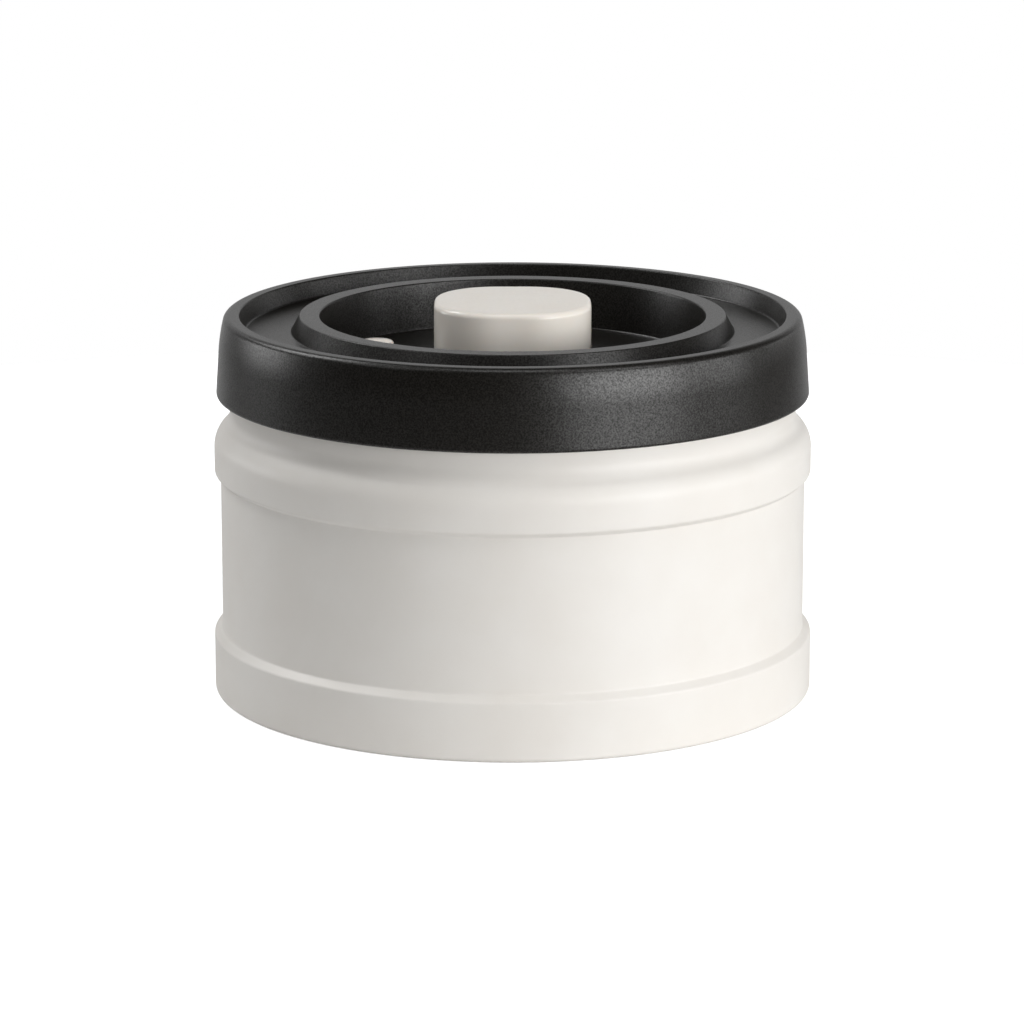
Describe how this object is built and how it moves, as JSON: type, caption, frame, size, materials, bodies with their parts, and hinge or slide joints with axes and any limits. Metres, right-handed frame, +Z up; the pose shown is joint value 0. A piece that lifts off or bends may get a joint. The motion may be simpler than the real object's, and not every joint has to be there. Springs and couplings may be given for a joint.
{
  "type": "coffee canister with vacuum pump lid",
  "caption": "Round painted steel coffee canister with a lift-off black lid, a square vacuum pump button set in a deep well and a small release valve cap.",
  "frame": {"origin": "middle of the jar's underside, on the surface that it stands on", "axes": "+Z up along the axis of the jar; -X towards the release valve; +Y away from the viewer in the picture"},
  "size_m": [0.123, 0.123, 0.0808],
  "materials": {
    "painted_steel": "matte warm white powder coat, bare satin steel inside",
    "lid_black": "fine spark-eroded texture",
    "base_black": "satin moulded",
    "button_white": "gloss moulded",
    "grey_plastic": "moulded",
    "silicone": "satin translucent silicone",
    "steel": "plain stainless",
    "filter_felt": "pressed fibre"
  },
  "bodies": {
    "canister": {"canister_body": "painted_steel"},
    "lid": {"lid_cover": "lid_black", "lid_base": "base_black", "lid_gasket": "silicone", "cover_screws": "steel", "pump_cylinder": "grey_plastic", "cylinder_seal": "silicone", "cylinder_screws": "steel", "intake_valve": "silicone", "dust_filter": "filter_felt", "filter_cover": "base_black", "pump_spring": "steel", "release_spring": "steel"},
    "pump": {"pump_button": "button_white", "piston": "grey_plastic", "piston_seal": "silicone", "piston_screw": "steel"},
    "release": {"release_cap": "button_white", "release_stem": "grey_plastic", "release_seal": "silicone", "release_keeper": "grey_plastic"}
  },
  "joints": [
    {"name": "lid_lift", "type": "slide", "parent": "canister", "child": "lid", "axis": [0, 0, 1], "range_m": [0, 0.06]},
    {"name": "pump_press", "type": "slide", "parent": "lid", "child": "pump", "axis": [0, 0, -1], "range_m": [0, 0.0085], "stiffness_N_per_m": 500, "springref_m": -0.006, "deforming": ["pump_spring"]},
    {"name": "release_press", "type": "slide", "parent": "lid", "child": "release", "axis": [0, 0, -1], "range_m": [0, 0.002], "stiffness_N_per_m": 500, "springref_m": -0.003, "deforming": ["release_spring"]}
  ]
}
